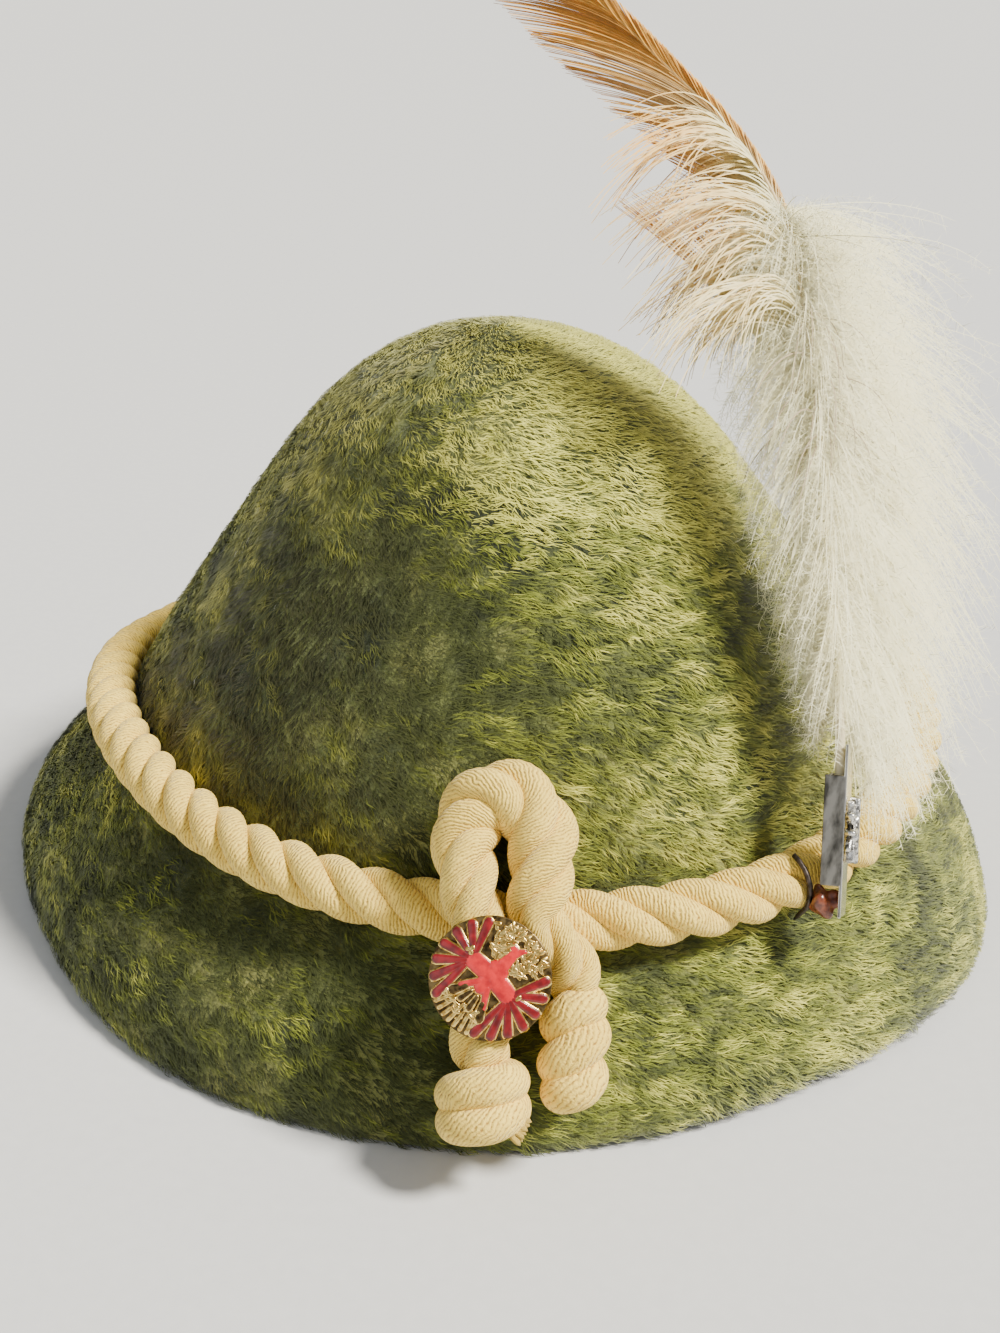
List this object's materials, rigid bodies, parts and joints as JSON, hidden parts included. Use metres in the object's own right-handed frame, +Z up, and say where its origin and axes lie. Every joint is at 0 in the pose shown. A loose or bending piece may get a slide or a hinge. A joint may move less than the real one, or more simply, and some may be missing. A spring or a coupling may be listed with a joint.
{
  "type": "tyrolean hat",
  "caption": "Olive brushed-felt mountain hat with a twisted cotton cord, a knotted bow under an enamel bird badge, and a down-based feather in a metal clip",
  "frame": {"origin": "centre of the bounding box at its bottom, on the plane on which the brim rests", "axes": "+Z up through the crown; -Y towards the front with the bow and the badge; +X towards the side with the feather clip"},
  "size_m": [0.2384, 0.2694, 0.2107],
  "materials": {
    "felt": "long brushed nap, mottled light and dark",
    "cord": "matte twisted cotton",
    "gilt": "cast relief, softly polished",
    "enamel": "glossy translucent enamel",
    "clip_metal": "bright plate, folded and slightly worn",
    "silver": "cast relief, darkened in its low parts",
    "dark_steel": "thin dark wire",
    "glue": "hard glossy drop",
    "feather": "fine barbs with a silky sheen, paler towards the shaft",
    "down": "loose fluffy barbs"
  },
  "bodies": {
    "root": {"hat_body": "felt", "hat_cord": "cord", "bow_cord": "cord", "left_end_knot": "cord", "right_end_knot": "cord", "badge_plate": "gilt", "badge_enamel": "enamel", "feather_clip": "clip_metal", "clip_ornament": "silver", "clip_pin": "dark_steel", "quill_glue": "glue", "feather": "feather", "feather_down": "down"}
  },
  "joints": []
}
